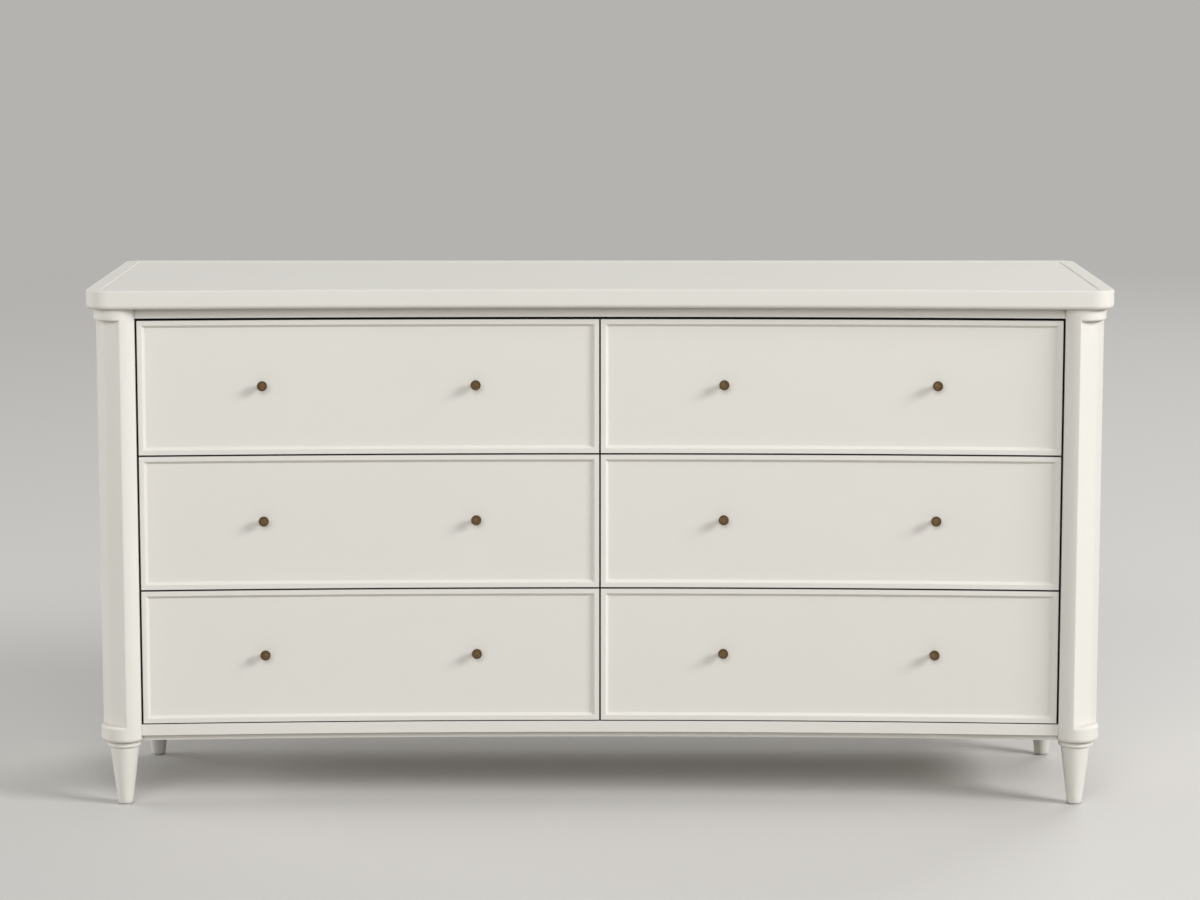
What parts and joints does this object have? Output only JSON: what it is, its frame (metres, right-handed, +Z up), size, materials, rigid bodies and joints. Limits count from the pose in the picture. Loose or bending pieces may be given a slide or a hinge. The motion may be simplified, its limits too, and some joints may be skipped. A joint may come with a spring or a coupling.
{
  "type": "dresser with drawers",
  "caption": "Low wide dresser with a concave front, framed drawer fronts with small round knobs, canted corner posts and turned tapered feet; the drawers slide out on runners.",
  "frame": {"origin": "On the floor, under the middle of the overall box.", "axes": "+X along the length, the drawers open towards -Y, +Z up."},
  "size_m": [1.626, 0.5079, 0.837],
  "materials": {
    "white_lacquer": "satin off-white lacquer",
    "carcass_wood": "plain sealed wood",
    "drawer_wood": "clear sealed wood",
    "runner_steel": "zinc plated",
    "knob_brass": "antique brass",
    "glide_plastic": "matt pale nylon"
  },
  "bodies": {
    "carcass": {"top_panel": "white_lacquer", "top_edging": "white_lacquer", "top_rail": "white_lacquer", "bottom_rail": "white_lacquer", "left_post": "white_lacquer", "right_post": "white_lacquer", "left_side_panel": "white_lacquer", "right_side_panel": "white_lacquer", "back_panel": "white_lacquer", "base_panel": "white_lacquer", "front_left_foot": "white_lacquer", "front_right_foot": "white_lacquer", "rear_left_foot": "white_lacquer", "rear_right_foot": "white_lacquer", "centre_partition": "carcass_wood", "runner_cleats": "carcass_wood", "cabinet_runners": "runner_steel", "floor_glides": "glide_plastic"},
    "top_left_drawer": {"top_left_drawer_front": "white_lacquer", "top_left_drawer_inner_side": "drawer_wood", "top_left_drawer_outer_side": "drawer_wood", "top_left_drawer_back": "drawer_wood", "top_left_drawer_bottom": "drawer_wood", "top_left_drawer_knobs": "knob_brass", "top_left_drawer_runners": "runner_steel"},
    "top_right_drawer": {"top_right_drawer_front": "white_lacquer", "top_right_drawer_inner_side": "drawer_wood", "top_right_drawer_outer_side": "drawer_wood", "top_right_drawer_back": "drawer_wood", "top_right_drawer_bottom": "drawer_wood", "top_right_drawer_knobs": "knob_brass", "top_right_drawer_runners": "runner_steel"},
    "middle_left_drawer": {"middle_left_drawer_front": "white_lacquer", "middle_left_drawer_inner_side": "drawer_wood", "middle_left_drawer_outer_side": "drawer_wood", "middle_left_drawer_back": "drawer_wood", "middle_left_drawer_bottom": "drawer_wood", "middle_left_drawer_knobs": "knob_brass", "middle_left_drawer_runners": "runner_steel"},
    "middle_right_drawer": {"middle_right_drawer_front": "white_lacquer", "middle_right_drawer_inner_side": "drawer_wood", "middle_right_drawer_outer_side": "drawer_wood", "middle_right_drawer_back": "drawer_wood", "middle_right_drawer_bottom": "drawer_wood", "middle_right_drawer_knobs": "knob_brass", "middle_right_drawer_runners": "runner_steel"},
    "bottom_left_drawer": {"bottom_left_drawer_front": "white_lacquer", "bottom_left_drawer_inner_side": "drawer_wood", "bottom_left_drawer_outer_side": "drawer_wood", "bottom_left_drawer_back": "drawer_wood", "bottom_left_drawer_bottom": "drawer_wood", "bottom_left_drawer_knobs": "knob_brass", "bottom_left_drawer_runners": "runner_steel"},
    "bottom_right_drawer": {"bottom_right_drawer_front": "white_lacquer", "bottom_right_drawer_inner_side": "drawer_wood", "bottom_right_drawer_outer_side": "drawer_wood", "bottom_right_drawer_back": "drawer_wood", "bottom_right_drawer_bottom": "drawer_wood", "bottom_right_drawer_knobs": "knob_brass", "bottom_right_drawer_runners": "runner_steel"}
  },
  "joints": [
    {"name": "top_left_drawer_slide", "type": "slide", "parent": "carcass", "child": "top_left_drawer", "axis": [0, -1, 0], "range_m": [0, 0.3]},
    {"name": "top_right_drawer_slide", "type": "slide", "parent": "carcass", "child": "top_right_drawer", "axis": [0, -1, 0], "range_m": [0, 0.3]},
    {"name": "middle_left_drawer_slide", "type": "slide", "parent": "carcass", "child": "middle_left_drawer", "axis": [0, -1, 0], "range_m": [0, 0.3]},
    {"name": "middle_right_drawer_slide", "type": "slide", "parent": "carcass", "child": "middle_right_drawer", "axis": [0, -1, 0], "range_m": [0, 0.3]},
    {"name": "bottom_left_drawer_slide", "type": "slide", "parent": "carcass", "child": "bottom_left_drawer", "axis": [0, -1, 0], "range_m": [0, 0.3]},
    {"name": "bottom_right_drawer_slide", "type": "slide", "parent": "carcass", "child": "bottom_right_drawer", "axis": [0, -1, 0], "range_m": [0, 0.3]}
  ]
}
